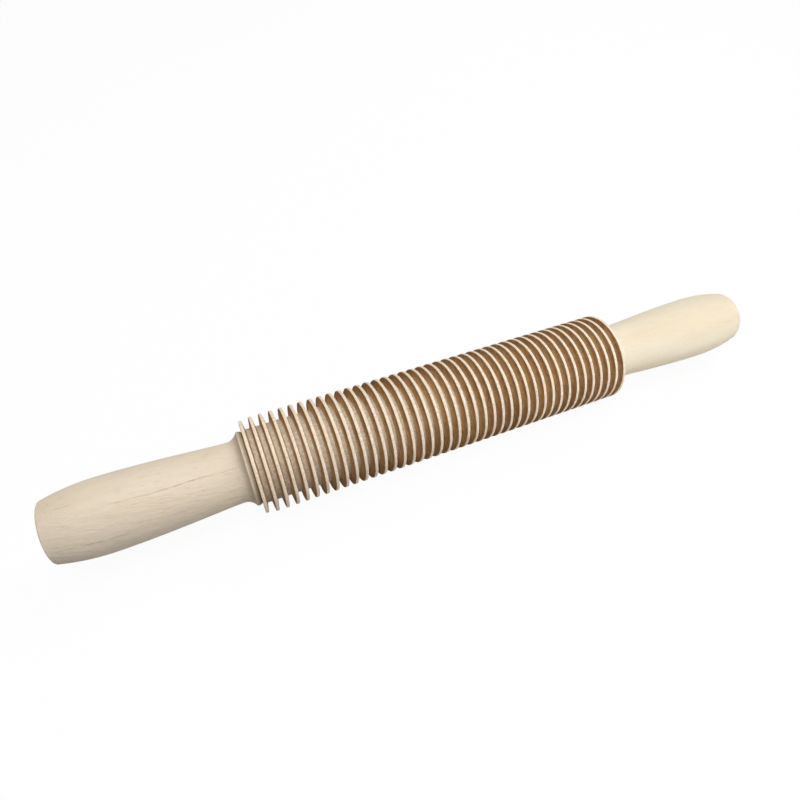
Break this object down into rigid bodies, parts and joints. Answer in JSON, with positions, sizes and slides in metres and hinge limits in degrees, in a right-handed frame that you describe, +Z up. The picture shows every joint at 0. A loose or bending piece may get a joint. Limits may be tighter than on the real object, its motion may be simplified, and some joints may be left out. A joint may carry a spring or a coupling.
{
  "type": "pasta cutter rolling pin",
  "caption": "Wooden rolling pin with evenly spaced cutting discs on a revolving roller and a swelling handle at each end, for cutting rolled dough into ribbons.",
  "frame": {"origin": "middle of the roller's axis, halfway between the two handles' end faces", "axes": "+X along the axis towards the right handle, +Z up, away from the surface that the pin lies on"},
  "size_m": [0.3224, 0.0402, 0.0402],
  "materials": {
    "roller_beech": "turned bare beech, pale rims and groove floors, brown end grain on the disc sides",
    "handle_beech": "turned and sanded bare beech with fine brown flecks",
    "plug_beech": "turned beech plug, end grain outwards",
    "rod_steel": "drawn steel rod, satin",
    "washer_steel": "zinc plated steel",
    "nut_steel": "zinc plated steel",
    "bush_nylon": "natural nylon"
  },
  "bodies": {
    "handles": {"left_handle": "handle_beech", "right_handle": "handle_beech", "axle_rod": "rod_steel", "left_thrust_washer": "washer_steel", "right_thrust_washer": "washer_steel", "left_nut_washer": "washer_steel", "right_nut_washer": "washer_steel", "left_nut": "nut_steel", "right_nut": "nut_steel", "left_end_plug": "plug_beech", "right_end_plug": "plug_beech"},
    "roller": {"cutting_roller": "roller_beech", "left_bush": "bush_nylon", "right_bush": "bush_nylon"}
  },
  "joints": [
    {"name": "roller_spin", "type": "hinge", "parent": "handles", "child": "roller", "pos_m": [0, 0, 0], "axis": [1, 0, 0], "continuous": true}
  ]
}
